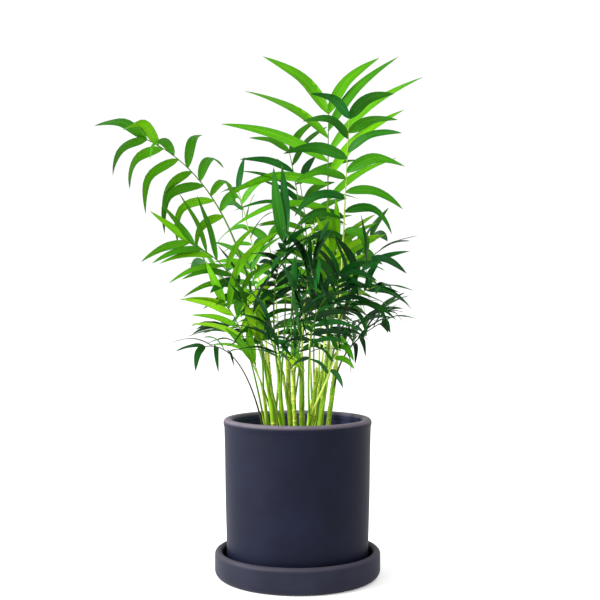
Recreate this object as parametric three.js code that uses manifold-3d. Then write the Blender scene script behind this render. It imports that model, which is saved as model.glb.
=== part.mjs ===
// A parlour palm (Chamaedorea elegans): a clump of seedlings in a round pot that stands in a saucer.
// Millimetres, +Z up, the front is -Y. The origin is the middle of the saucer's flat underside.
//
// Each seedling is a cane with a few fronds. A frond is a rib with leaflets down both sides, and
// its foot lies against its cane. Every frond is one solid, cut in to the rib between its leaflets.
import * as THREE from 'three';
import Module from 'manifold-3d';
import { mergeVertices } from 'three/addons/utils/BufferGeometryUtils.js';

const wasm = await Module();
wasm.setup();

// ---------------------------------------------------------------- sizes

const GAP = 0.3; // between solids that rest on or against each other
const ROUND = 40; // facets round the pot, the saucer and the soil

const SAUCER = { radius: 78, height: 25, wall: 7.5, floor: 7, edge: 7 };
const POT = { rim: 70, base: 66.25, height: 141, wall: 8.5, floor: 10, lip: 3.5, edge: 2 };
const SOIL_DEPTH_BELOW_RIM = 26;

const POT_BASE = SAUCER.floor + GAP;
const POT_RIM = POT_BASE + POT.height;
const SOIL_TOP = POT_RIM - SOIL_DEPTH_BELOW_RIM;

const CANE_SIDES = 8;
const CANE_TAPER = 0.8; // the tip's radius as a share of the foot's

const RIB = { foot: 1.5, tip: 0.9, sides: 3, spans: 7 };
const LEAF = {
  thickness: 1.2,
  root: [1.2, 0.9], // breadth and thickness where it starts inside the rib
  sides: 3,
  steps: 12, // fine steps along the middle line
  spans: { short: 2, long: 3 }, // how many of them the solid keeps
  longFrom: 50,
  sunk: 2.5, // how far the last pair starts behind the rib's tip
  sickle: 14, // degrees a leaflet curves towards the rib's tip
  limp: 0.96, // how far it may fall, as a share of hanging straight down
  flatten: 0.35, // how far a drooping leaflet turns its face to the sky
  hang: [-0.25, 1.1], // shares of its length between which it bends evenly
  fold: [0.34, 0.62], // and between which it creases
  level: 0.55, // share by which its face has turned
};

// How the leaflets change along a rib, from its first pair to its last.
const ALONG = {
  stagger: 0.16, // of the step between pairs, by which a pair's two sides differ each way
  closing: { share: 0.5, power: 1.5 }, // how far the spread closes at the tip
  levelling: 0.6, // how much of the lift is lost at the tip
  length: { least: 0.72, swell: 0.28, from: 0.12, to: 0.92 }, // longest half way
  width: { first: 0.82, last: 1.12 },
  droop: { first: 1.15, last: 0.7 },
};

// How far a leaflet strays from its row: in degrees, then as shares.
const STRAY = { spread: 9, lift: 12, roll: 24, length: 0.14, width: 0.1, droop: 0.35, crease: 0.3 };
const UNRULY = { lime: 1, fresh: 1, mid: 1.3, dark: 2 }; // how much more the angles stray in each tone

const SEATING_STEP = 0.1; // of a frond's foot on its way out to the side of its cane
const CLEARANCE = 0.5; // round a leaflet that is tried among the limbs
const TRIED_LENGTHS = [1, 0.8, 0.62];

// The canes: middle of the foot at the soil [x, y], middle of the tip [x, y, z], radius of the foot.
const CANES = {
  A: [[-26, -9], [-31, -13, 168], 2.6],
  B: [[-21, 4], [-29, 3, 210], 3.3],
  C: [[-12, -15], [-18, -20, 196], 2.7],
  D: [[-6, 9], [-10, 13, 206], 2.9],
  E: [[4, -5], [4, -7, 204], 3.3],
  F: [[12, 13], [18, 19, 190], 2.7],
  G: [[19, -8], [29, -11, 218], 3.3],
  H: [[27, 8], [36, 11, 196], 2.9],
  I: [[-2, 30], [-5, 38, 190], 2.7],
  J: [[15, 31], [22, 41, 184], 2.7],
  K: [[-19, 25], [-28, 34, 182], 2.7],
  L: [[8, -27], [12, -35, 164], 2.5],
};

// The fronds. In each row: its cane, how far up the cane it leaves, the middle and the tip of its
// rib, the bare share of the rib, its pairs of leaflets, a leaflet's length and width, then in
// degrees how far the leaflets spread from the rib, droop, lift above the blade, and lean to one
// side, where the blade's face looks (round from +X, and up), and its tone of green.
const FRONDS = [
  // the tall ones and the long arching one
  ['B', 0.97, [-70, -20, 339], [-137, -54, 404], 0.58, 7, [64, 10.5], [56, 128, 12, -6], [-85, -14], 'fresh'],
  ['G', 0.97, [29, 26, 300], [31, 60, 449], 0.6, 5, [112, 11], [53, 26, 10, -20], [-100, 5], 'fresh'],
  ['H', 0.96, [42, -6, 299], [48, -22, 430], 0.54, 7, [60, 10.5], [70, 62, 16, 0], [-95, 10], 'mid'],
  ['D', 0.97, [8, 36, 279], [-9, 70, 412], 0.62, 5, [64, 7], [60, 30, 4, 0], [-100, 72], 'mid'],
  ['I', 0.97, [9, 66, 290], [2, 94, 382], 0.62, 4, [52, 7.5], [62, 30, 4, 0], [-60, 70], 'mid'],
  ['K', 0.97, [-37, 44, 270], [-61, 80, 372], 0.5, 6, [46, 7], [64, 45, 12, 0], [-150, 30], 'mid'],
  // the left side
  ['B', 0.66, [-52, -30, 268], [-100, -46, 312], 0.56, 4, [56, 9], [48, 26, 6, 4], [-95, 20], 'fresh'],
  ['A', 0.58, [-49, -29, 223], [-68, -40, 257], 0.6, 3, [52, 10], [50, 22, 6, 8], [-95, 10], 'lime'],
  ['A', 0.08, [-52, -36, 199], [-84, -62, 218], 0.8, 3, [38, 5.5], [58, 70, 12, 0], [-90, 60], 'dark'],
  ['A', 0.98, [-36, -34, 232], [-51, -64, 260], 0.5, 5, [44, 7.5], [56, 35, 10, 0], [-80, 30], 'mid'],
  ['D', 0.78, [-32, 12, 242], [-48, 14, 300], 0.58, 4, [48, 8], [58, 35, 12, 0], [-110, 20], 'fresh'],
  ['D', 0.58, [-30, -8, 239], [-55, -24, 278], 0.48, 4, [48, 8], [60, 40, 12, 0], [-60, 30], 'mid'],
  // the middle, towards the front
  ['C', 0.97, [-21, -46, 262], [-10, -84, 308], 0.5, 6, [50, 7.5], [54, 40, 10, 0], [-60, 25], 'dark'],
  ['C', 0.6, [-16, -46, 208], [-24, -84, 240], 0.5, 6, [42, 7], [56, 36, 14, 0], [-110, 30], 'dark'],
  ['E', 0.97, [7, -42, 258], [17, -90, 296], 0.5, 6, [50, 7], [52, 40, 10, 0], [-120, 25], 'dark'],
  ['E', 0.75, [-3, -48, 234], [-4, -100, 270], 0.46, 6, [45, 7], [56, 45, 14, 0], [-60, 30], 'dark'],
  ['L', 0.7, [12, -68, 226], [25, -108, 262], 0.46, 5, [42, 7], [56, 45, 14, 0], [-70, 30], 'dark'],
  // the right side
  ['F', 0.97, [25, 12, 262], [37, 0, 312], 0.6, 4, [58, 9.5], [36, 16, 4, 0], [-80, 5], 'lime'],
  ['F', 0.42, [38, 20, 254], [60, 44, 303], 0.48, 5, [47, 8], [66, 35, 12, 0], [-30, 30], 'mid'],
  ['G', 0.8, [51, -16, 271], [77, -34, 306], 0.45, 5, [54, 6.5], [46, 26, 8, 0], [-70, 50], 'dark'],
  ['G', 0.62, [42, -36, 247], [73, -70, 272], 0.38, 6, [46, 6.5], [58, 50, 14, 0], [-30, 40], 'dark'],
  ['G', 0.45, [30, -32, 232], [38, -54, 285], 0.5, 6, [46, 7], [60, 40, 14, 0], [-110, 15], 'dark'],
  ['H', 0.72, [47, -18, 213], [78, -44, 240], 0.45, 6, [40, 5.5], [56, 55, 8, 0], [-60, 50], 'dark'],
  ['L', 0.9, [29, -46, 195], [39, -66, 226], 0.5, 4, [32, 6], [60, 36, 10, 0], [-80, 50], 'mid'],
  // the back
  ['K', 0.76, [-53, 78, 243], [-99, 116, 300], 0.45, 6, [50, 8.5], [66, 45, 20, 0], [60, 60], 'mid'],
  ['K', 0.55, [-51, 42, 208], [-82, 84, 235], 0.45, 5, [42, 8], [66, 50, 12, 0], [120, 60], 'dark'],
  ['K', 0.34, [-20, 66, 229], [-31, 112, 323], 0.52, 5, [50, 8.5], [66, 40, 20, 0], [100, 30], 'mid'],
  ['I', 0.78, [-6, 80, 260], [2, 132, 326], 0.5, 5, [52, 8.5], [62, 40, 14, 0], [90, 55], 'fresh'],
  ['I', 0.55, [4, 84, 210], [9, 138, 255], 0.45, 5, [44, 8], [68, 50, 20, 0], [90, 60], 'dark'],
  ['J', 0.97, [39, 80, 260], [79, 120, 328], 0.45, 6, [50, 8.5], [66, 45, 20, 0], [60, 50], 'mid'],
  ['J', 0.74, [47, 68, 219], [90, 100, 251], 0.46, 5, [43, 8], [64, 48, 12, 0], [60, 60], 'dark'],
  ['J', 0.52, [17, 80, 229], [28, 122, 300], 0.5, 5, [48, 8.5], [66, 40, 20, 0], [90, 40], 'mid'],
  ['F', 0.48, [12, 46, 260], [19, 88, 354], 0.55, 5, [54, 9], [66, 35, 12, 0], [90, 15], 'fresh'],
  // the young leaves, which have only two leaflets
  ['C', 0.8, [-11, -38, 256], [-12, -46, 313], 0.95, 1, [98, 8.5], [6, 6, 12, 0], [-90, 0], 'mid'],
  ['C', 0.36, [-27, -29, 192], [-34, -42, 224], 0.95, 1, [62, 10], [17, 10, 12, 0], [-90, 10], 'lime'],
  ['A', 0.44, [-33, -29, 178], [-40, -38, 204], 0.95, 1, [54, 9], [19, 14, 12, 0], [-90, 20], 'lime'],
  ['E', 0.4, [5, -22, 182], [1, -30, 200], 0.95, 1, [34, 7.5], [16, 10, 12, 0], [-90, 20], 'lime'],
];

const FINISHES = {
  ceramic: { color: 0x3a3c52, roughness: 0.6, metalness: 0 },
  saucer: { color: 0x3c3d4e, roughness: 0.65, metalness: 0 },
  soil: { color: 0x3a2a1e, roughness: 1, metalness: 0 },
  cane: { color: 0xa6c83c, roughness: 0.5, metalness: 0 },
  lime: { color: 0x96cc28, roughness: 0.45, metalness: 0 },
  fresh: { color: 0x54a81e, roughness: 0.45, metalness: 0 },
  mid: { color: 0x28821e, roughness: 0.45, metalness: 0 },
  dark: { color: 0x0a5a2c, roughness: 0.45, metalness: 0 },
};

// ---------------------------------------------------------------- small tools

const DOWN = new THREE.Vector3(0, 0, -1);
const radians = THREE.MathUtils.degToRad;
const vector = (place) => new THREE.Vector3(...place);
const mix = THREE.MathUtils.lerp;

// The same number from -1 to 1 each time for a seed, so that no two leaflets are alike.
function stray(seed) {
  const wave = Math.sin(seed * 12.9898 + 78.233) * 43758.5453;
  return 2 * (wave - Math.floor(wave)) - 1;
}

function named(name, geometry, finish) {
  const mesh = new THREE.Mesh(geometry, new THREE.MeshStandardMaterial(FINISHES[finish]));
  mesh.name = name;
  return mesh;
}

// Moves every vertex of a geometry to the place that a rule gives for it.
function reshaped(geometry, rule) {
  const position = geometry.getAttribute('position');
  const vertex = new THREE.Vector3();
  for (let i = 0; i < position.count; i += 1) {
    vertex.fromBufferAttribute(position, i);
    position.setXYZ(i, ...rule(vertex).toArray());
  }
  return geometry;
}

function toSolid(geometry) {
  const bare = geometry.clone();
  bare.deleteAttribute('normal');
  bare.deleteAttribute('uv');
  const merged = mergeVertices(bare, 1e-5);
  return new wasm.Manifold(new wasm.Mesh({
    numProp: 3,
    vertProperties: new Float32Array(merged.getAttribute('position').array),
    triVerts: new Uint32Array(merged.getIndex().array),
  }));
}

function toGeometry(solid) {
  const mesh = solid.getMesh();
  const geometry = new THREE.BufferGeometry();
  geometry.setAttribute('position', new THREE.BufferAttribute(mesh.vertProperties, 3));
  geometry.setIndex(new THREE.BufferAttribute(mesh.triVerts, 1));
  geometry.computeVertexNormals();
  return geometry;
}

// ---------------------------------------------------------------- pot, saucer and soil

function turned(outline) {
  const points = outline.map(([radius, height]) => new THREE.Vector2(radius, height));
  return new THREE.LatheGeometry(points, ROUND).rotateX(Math.PI / 2);
}

// A quarter round from angle to angle (degrees, 0 is outwards and 90 is up) about a middle.
function bend(radius, height, size, from, to, steps = 3) {
  const points = [];
  for (let i = 0; i <= steps; i += 1) {
    const angle = radians(mix(from, to, i / steps));
    points.push([radius + size * Math.cos(angle), height + size * Math.sin(angle)]);
  }
  return points;
}

function saucer() {
  const { radius, height, wall, floor, edge } = SAUCER;
  const inner = radius - wall;
  const lip = wall / 2;
  return turned([
    [0, 0],
    ...bend(radius - edge, edge, edge, -90, 0, 2),
    ...bend(radius - lip, height - lip, lip, 0, 180, 4),
    ...bend(inner - 2, floor + 2, 2, 0, -90, 1),
    [0, floor],
  ]);
}

// The pot's wall leans out evenly from its base to its rim.
const potRadius = (height) => mix(POT.base, POT.rim, (height - POT_BASE) / POT.height);

function pot() {
  const { base, rim, wall, floor, lip, edge } = POT;
  const top = POT_RIM - lip;
  return turned([
    [0, POT_BASE],
    ...bend(base - edge, POT_BASE + edge, edge, -90, 0, 2),
    ...bend(rim - lip, top, lip, 0, 90),
    ...bend(rim - wall + lip, top, lip, 90, 180),
    [potRadius(POT_BASE + floor) - wall, POT_BASE + floor],
    [0, POT_BASE + floor],
  ]);
}

function soil() {
  const bottom = POT_BASE + POT.floor + GAP;
  const edge = POT.wall + 2 * GAP;
  return turned([
    [0, bottom],
    [potRadius(bottom) - edge, bottom],
    [potRadius(SOIL_TOP) - edge, SOIL_TOP],
    [0, SOIL_TOP],
  ]);
}

// ---------------------------------------------------------------- canes

// A cane leans by being pushed sideways, so that its foot stays flat on the soil. The margin
// moves its flat sides outwards.
function cane([foot, tip, radius], margin = 0) {
  const bottom = SOIL_TOP + GAP;
  const height = tip[2] - bottom;
  const wide = radius + margin / Math.cos(Math.PI / CANE_SIDES);
  const slim = wide - radius * (1 - CANE_TAPER);
  const shape = new THREE.CylinderGeometry(slim, wide, height, CANE_SIDES);
  shape.rotateX(Math.PI / 2).translate(0, 0, bottom + height / 2);
  return reshaped(shape, (vertex) => {
    const share = (vertex.z - bottom) / height;
    return vertex.add(new THREE.Vector3(mix(foot[0], tip[0], share), mix(foot[1], tip[1], share), 0));
  });
}

// ---------------------------------------------------------------- fronds

// The curve of a rib: it starts beside the middle line of its cane, on the side that it heads
// for, passes through its middle and ends at its tip.
function ribCurve([foot, top], up, middle, tip, beside) {
  const start = vector([...foot, SOIL_TOP]).lerp(vector(top), up);
  const heading = vector(middle).sub(start).setZ(0).normalize();
  start.addScaledVector(heading, beside);
  const end = vector(tip);
  const pull = vector(middle).multiplyScalar(2).sub(start.clone().add(end).multiplyScalar(0.5));
  return new THREE.QuadraticBezierCurve3(start, pull, end);
}

// Along, across and above the blade at a share of the rib's length.
function ribFrame(curve, share, [round, high]) {
  const along = curve.getTangentAt(share);
  const above = new THREE.Vector3().setFromSphericalCoords(1, radians(90 - high), radians(round + 90));
  above.set(above.x, -above.z, above.y); // from three's y-up angles to z-up
  above.addScaledVector(along, -above.dot(along)).normalize();
  return { along, above, across: along.clone().cross(above) };
}

function ribSolid(curve, face) {
  const { foot, tip, sides, spans } = RIB;
  const shape = new THREE.CylinderGeometry(tip, foot, 1, sides, spans);
  return toSolid(reshaped(shape, ({ x, y, z }) => {
    const { across, above } = ribFrame(curve, y + 0.5, face);
    return curve.getPointAt(y + 0.5).addScaledVector(across, x).addScaledVector(above, z);
  }));
}

// A rib that starts as close to the middle of its cane as its side lets it.
function seatedRib(row, up, middle, tip, face) {
  const skin = toSolid(cane(row, GAP));
  let beside = 0;
  let curve;
  let solid;
  do {
    beside += SEATING_STEP;
    curve = ribCurve(row, up, middle, tip, beside);
    solid = ribSolid(curve, face);
  } while (!solid.intersect(skin).isEmpty());
  return { curve, solid };
}

// A place on the straight stretches that the faceted rib is made of.
function onRib(curve, share) {
  const station = Math.min(Math.floor(share * RIB.spans), RIB.spans - 1);
  const from = curve.getPointAt(station / RIB.spans);
  return from.lerp(curve.getPointAt((station + 1) / RIB.spans), share * RIB.spans - station);
}

// Where a leaflet grows and which way: pairs close up and swing forward towards the rib's tip.
function leaflet(curve, seed, side, share, outer, row) {
  const [, , , , , , [length, width], [spread, droop, lift, lean], face, tone] = row;
  const { along, across, above } = ribFrame(curve, share, face);
  const open = (spread + side * lean) * (1 - ALONG.closing.share * outer ** ALONG.closing.power);
  const loose = UNRULY[tone];
  const angle = radians(open + loose * STRAY.spread * stray(seed));
  const raise = radians(lift * (1 - ALONG.levelling * outer) + loose * STRAY.lift * stray(seed + 1));
  const out = along.multiplyScalar(Math.cos(angle))
    .addScaledVector(across, side * Math.sin(angle) * Math.cos(raise))
    .addScaledVector(above, Math.sin(angle) * Math.sin(raise)).normalize();
  const up = above.addScaledVector(out, -above.dot(out)).normalize()
    .applyAxisAngle(out, loose * radians(STRAY.roll) * stray(seed + 6));
  const { least, swell, from, to } = ALONG.length;
  const between = ({ first, last }) => mix(first, last, outer);
  return {
    root: onRib(curve, share),
    out,
    up,
    length: length * (least + swell * Math.sin(Math.PI * mix(from, to, outer)))
      * (1 + STRAY.length * stray(seed + 2)),
    width: width * between(ALONG.width) * (1 + STRAY.width * stray(seed + 3)),
    droop: radians(droop * between(ALONG.droop)) * (1 + STRAY.droop * stray(seed + 4)),
    crease: STRAY.crease * (1 + stray(seed + 5)),
    sickle: -side * radians(LEAF.sickle),
  };
}

function leaflets(curve, number, row) {
  const [, , , , bare, pairs] = row;
  const last = 1 - LEAF.sunk / curve.getLength();
  const steps = Math.max(pairs - 1, 1);
  const list = [];
  for (let pair = 0; pair < pairs; pair += 1) {
    for (const side of [-1, 1]) {
      const seed = number * 97 + pair * 7 + (side > 0 ? 14 : -3);
      const outer = pairs > 1 ? pair / steps : 1;
      const stagger = pair < steps ? (side * ALONG.stagger) / steps : 0;
      const share = Math.min(mix(bare, 1, outer + stagger), last);
      list.push(leaflet(curve, seed, side, share, outer, row));
    }
  }
  return list;
}

// The middle line of a leaflet: it curves towards the rib's tip and falls under its own weight,
// some of it in a crease part of the way along.
function leafLine({ root, out, up, droop, crease, sickle }, length) {
  const axis = out.clone().cross(DOWN).normalize();
  const fall = Math.min(droop, LEAF.limp * out.angleTo(DOWN));
  const flat = out.clone().cross(up);
  const level = axis.clone().multiplyScalar(flat.dot(axis) >= 0 ? 1 : -1);
  const ease = (share) => (1 - crease) * THREE.MathUtils.smoothstep(share, ...LEAF.hang)
    + crease * THREE.MathUtils.smoothstep(share, ...LEAF.fold);
  const line = [];
  for (let step = 0; step <= LEAF.steps; step += 1) {
    const share = step / LEAF.steps;
    const turn = (fall * (ease(share) - ease(0))) / (1 - ease(0));
    const turnOf = (v) => v.clone().applyAxisAngle(up, sickle * share).applyAxisAngle(axis, turn);
    const along = turnOf(out);
    const eased = LEAF.flatten * THREE.MathUtils.smoothstep(share, 0, LEAF.level);
    const across = turnOf(flat).multiplyScalar(1 - eased).addScaledVector(level, eased).normalize();
    across.addScaledVector(along, -across.dot(along)).normalize();
    const before = line[step - 1];
    const place = before
      ? before.place.clone().addScaledVector(before.along.clone().add(along).normalize(), length / LEAF.steps)
      : root;
    line.push({ place, along, across });
  }
  return line;
}

// A leaflet is widest a third of the way along and runs out to a long point.
const leafBreadth = (share) => Math.max(0, Math.sin(Math.PI * (0.03 + 0.97 * share) ** 0.75)) ** 0.8;

// A three-sided tapering blade, flat below with a low ridge above. The margin fattens it all round.
function leafSolid(leaf, scale, margin = 0) {
  const length = leaf.length * scale + margin;
  const line = leafLine(leaf, length);
  const spans = leaf.length > LEAF.longFrom ? LEAF.spans.long : LEAF.spans.short;
  const shape = new THREE.ConeGeometry(1, 1, LEAF.sides, spans);
  return toSolid(reshaped(shape, ({ x, y, z }) => {
    const share = Math.min(1, y + 0.5);
    const { place, along, across } = line[Math.round(share * LEAF.steps)];
    const size = Math.max(1 - share, 1e-6); // the cone's own radius here
    const [breadth, thickness] = share > 0 ? [leaf.width * leafBreadth(share), LEAF.thickness] : LEAF.root;
    return place.clone()
      .addScaledVector(across, ((x / size) * (breadth / 2 + margin)) / Math.sin(Math.PI / 3))
      .addScaledVector(across.clone().cross(along), ((z / size) * (thickness + 2 * margin)) / 1.5);
  }));
}

const boxesMeet = (a, b) => [0, 1, 2].every((i) => a.min[i] <= b.max[i] && b.min[i] <= a.max[i]);

function isClear(solid, others) {
  const box = solid.boundingBox();
  return others.every((other) => !boxesMeet(box, other.box) || solid.intersect(other.solid).isEmpty());
}

const boxed = (solid, owner) => ({ solid, owner, box: solid.boundingBox() });

// ---------------------------------------------------------------- the plant in its pot

const group = new THREE.Group();
group.add(named('saucer', saucer(), 'saucer'), named('pot', pot(), 'ceramic'), named('soil', soil(), 'soil'));

const taken = [boxed(toSolid(pot()), 'pot')];
for (const [letter, row] of Object.entries(CANES)) {
  const shape = cane(row);
  group.add(named(`cane_${letter}`, shape, 'cane'));
  taken.push(boxed(toSolid(shape), `cane_${letter}`));
}

const ribs = FRONDS.map(([letter, up, middle, tip, , , , , face]) => (
  seatedRib(CANES[letter], up, middle, tip, face)
));
ribs.forEach(({ solid }, index) => taken.push(boxed(solid, index)));

FRONDS.forEach((row, index) => {
  const { curve, solid } = ribs[index];
  const others = taken.filter(({ owner }) => owner !== index);
  let blade = solid;
  for (const grown of leaflets(curve, index + 1, row)) {
    const scale = TRIED_LENGTHS.find((tried) => isClear(leafSolid(grown, tried, CLEARANCE), others));
    if (scale) {
      const leafy = leafSolid(grown, scale);
      blade = blade.add(leafy);
      taken.push(boxed(leafy, index));
    }
  }
  group.add(named(`frond_${String(index + 1).padStart(2, '0')}`, toGeometry(blade), row.at(-1)));
});

export default group;
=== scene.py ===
# %% [markdown]
# # A parlour palm in a dark ceramic pot
# A clump of young palms grows in a round pot that stands in a saucer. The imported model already
# has every solid in its place, so each step below gives one of them its real surface. Sizes are
# written in millimetres, as a grower or a potter would, and become metres in the mesh.

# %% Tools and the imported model
import math
from collections import namedtuple

import bpy
import numpy as np
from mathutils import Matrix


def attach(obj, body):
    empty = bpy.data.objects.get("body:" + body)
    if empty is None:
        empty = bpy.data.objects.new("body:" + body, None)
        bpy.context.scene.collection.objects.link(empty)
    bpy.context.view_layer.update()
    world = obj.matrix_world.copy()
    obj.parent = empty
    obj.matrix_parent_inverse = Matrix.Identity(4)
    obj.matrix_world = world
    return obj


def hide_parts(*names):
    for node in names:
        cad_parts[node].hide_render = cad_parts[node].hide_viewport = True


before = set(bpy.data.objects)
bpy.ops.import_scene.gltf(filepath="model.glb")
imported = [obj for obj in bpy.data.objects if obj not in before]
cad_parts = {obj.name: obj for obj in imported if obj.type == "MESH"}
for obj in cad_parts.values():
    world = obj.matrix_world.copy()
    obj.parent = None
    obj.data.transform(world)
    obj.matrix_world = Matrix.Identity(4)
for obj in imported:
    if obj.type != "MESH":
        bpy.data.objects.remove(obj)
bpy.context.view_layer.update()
MM = 0.001
print("solids in the packed model:", len(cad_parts))

# %% [markdown]
# ## The view
# The camera is level and looks straight along +Y from just under a metre away, a little above
# the middle of the plant. Its lens is worked out from its focal length in pixels, because that
# is how a view is measured: focal length over picture width, times the width of the sensor.

# %% The camera
VIEWPOINT = (2.3, -984, 259.6)
FOCAL_PIXELS, PICTURE_PIXELS, SENSOR = 1040, 600, 36

camera = bpy.data.objects.new("camera", bpy.data.cameras.new("camera"))
camera.data.sensor_width = SENSOR
camera.data.lens = FOCAL_PIXELS / PICTURE_PIXELS * SENSOR
camera.location = [v * MM for v in VIEWPOINT]
camera.rotation_euler = (math.pi / 2, 0, 0)
bpy.context.collection.objects.link(camera)
bpy.context.scene.camera = camera
print(f"lens {camera.data.lens:.1f} mm")

# %% [markdown]
# ## Small tools for shapes
# Every shape here is worked out as whole arrays of points. These few helpers do what is needed
# again and again: an even S-shaped step, unit vectors, turning vectors about an axis, and a
# number between -1 and 1 that is always the same for the same seed, so that leaves differ from
# each other but not from one run to the next.


# %% Array helpers
def mix(a, b, share):
    """a where share is 0, b where it is 1, and evenly between."""
    return a + (b - a) * share


def smooth_step(x, low, high):
    """0 below low, 1 above high, and 3t^2 - 2t^3 between, with t the share of the way."""
    t = np.clip((x - low) / (high - low), 0, 1)
    return t * t * (3 - 2 * t)


def unit(v):
    """Each vector over its own length."""
    return v / np.linalg.norm(v, axis=-1, keepdims=True)


def dot(a, b):
    """The sum of the products, with the last axis kept."""
    return np.sum(a * b, axis=-1, keepdims=True)


def spun(v, axis, angle):
    """Turns v about a unit axis: v cos + (axis x v) sin + axis (axis . v) (1 - cos)."""
    cos, sin = np.cos(angle)[..., None], np.sin(angle)[..., None]
    return v * cos + np.cross(axis, v) * sin + axis * dot(axis, v) * (1 - cos)


def stray(seed):
    """Twice the fraction of sin(12.9898 seed + 78.233) * 43758.5453, less one."""
    wave = np.sin(np.asarray(seed) * 12.9898 + 78.233) * 43758.5453
    return 2 * (wave - np.floor(wave)) - 1


# %% [markdown]
# ## From arrays to pieces
# A skin gathers points, faces, finishes and maps from as many shapes as a piece needs, and then
# becomes one mesh. Quads between neighbouring rings make every tube, pot and blade. The bake
# map spreads a piece flat without overlaps, so that a pattern can be baked onto it.


# %% Faces and maps of closed rings
def ring_quads(rings, around):
    """Quads between closed rings: corner (row, j), (row, j + 1), then the same one row up."""
    row, j = np.meshgrid(np.arange(rings - 1), np.arange(around), indexing="ij")
    here, beside = row * around + j, row * around + (j + 1) % around
    return np.stack([here, beside, beside + around, here + around], -1).reshape(-1, 4)


def ring_map(rings, around, heights=None):
    """For each corner of those quads its share round the ring and its height, row by row."""
    row, j = np.meshgrid(np.arange(rings - 1), np.arange(around), indexing="ij")
    up = np.linspace(0, 1, rings) if heights is None else heights
    left, right, low, high = j / around, (j + 1) / around, up[row], up[row + 1]
    corners = [(left, low), (right, low), (right, high), (left, high)]
    return np.stack([np.stack(c, -1) for c in corners], -2).reshape(-1, 4, 2)


def inset(laid):
    """The map drawn in by a hundredth, so that the bake has room round its edge."""
    return 0.01 + 0.98 * laid


# %% Skins
class Skin:
    """Points and faces on their way to becoming one mesh."""

    def __init__(self):
        self.points, self.faces, self.finish, self.maps, self.total = [], [], [], {}, 0

    def add(self, points, faces, finish=0, **maps):
        """faces is (count, corners) into points; each map is (count, corners, 2)."""
        self.cover(np.asarray(faces) + self.total, finish, **maps)
        self.points.append(np.asarray(points, float).reshape(-1, 3))
        self.total += len(self.points[-1])
        return self

    def cover(self, faces, finish=0, **maps):
        """More faces, whose corners are counted from the first point of the skin."""
        self.faces.append(faces)
        self.finish.append(np.broadcast_to(finish, len(faces)))
        for name, values in maps.items():
            self.maps.setdefault(name, []).append(np.reshape(values, (-1, 2)))
        return self

    def become(self, name, nodes, slot, finishes, sharp=None):
        """Makes the object, in metres, riding on the root body in place of the CAD nodes."""
        mesh = bpy.data.meshes.new(name)
        faces = [f for block in self.faces for f in block.tolist()]
        mesh.from_pydata((np.concatenate(self.points) * MM).tolist(), [], faces)
        mesh.polygons.foreach_set("material_index", np.concatenate(self.finish).astype(np.int32))
        mesh.polygons.foreach_set("use_smooth", np.ones(len(faces), bool))
        for title, blocks in self.maps.items():
            layer = mesh.uv_layers.new(name=title)
            layer.data.foreach_set("uv", np.concatenate(blocks).astype(np.float32).ravel())
        if sharp:
            mesh.set_sharp_from_angle(angle=math.radians(sharp))
        for finish in finishes:
            mesh.materials.append(finish)
        mesh.update()
        made = bpy.data.objects.new(name, mesh)
        bpy.context.collection.objects.link(made)
        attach(made, "root")
        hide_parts(*nodes)
        return made


def tube(rings, **maps):
    """Closed rings (count, around, 3) with a flat face over the first and over the last."""
    count, around = rings.shape[:2]
    skin = Skin().add(rings, ring_quads(count, around), **maps)
    first, flat = np.arange(around), {name: np.zeros((1, around, 2)) for name in maps}
    for ring in (first[::-1], first + (count - 1) * around):
        skin.cover(ring[None], **flat)
    return skin


# %% [markdown]
# ## Finishes
# A finish is a material made of nodes. Python's own +, - and * on a wire add Math nodes, so a
# mask reads like a formula.


# %% Wires
class Wire:
    """A socket with arithmetic: each operator adds the Math node that works it out."""

    def __init__(self, finish, socket):
        self.finish, self.socket = finish, socket

    def math(self, operation, *values):
        """The Math node for an operation on up to three values."""
        return self.finish.node("Math", {"operation": operation}, dict(enumerate(values)))

    def __add__(self, other):
        return self.math("ADD", self, other)

    def __sub__(self, other):
        return self.math("SUBTRACT", self, other)

    def __rsub__(self, other):
        return self.math("SUBTRACT", other, self)

    def __mul__(self, other):
        return self.math("MULTIPLY", self, other)

    __radd__, __rmul__ = __add__, __mul__

    def size(self):
        return self.math("ABSOLUTE", self)

    def fraction(self):
        return self.math("FRACT", self)

    def least(self, other):
        return self.math("MINIMUM", self, other)

    def step(self, low, high):
        """0 at low, 1 at high and a smooth S between; low may be the larger."""
        return self.finish.node("MapRange", {"interpolation_type": "SMOOTHSTEP"},
                                {0: self, 1: low, 2: high, 3: 0.0, 4: 1.0})


# %% [markdown]
# Every other node comes from one method, which takes its type, its settings and its sockets.
# Numbers that are the same all over go straight onto the shader.


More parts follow.
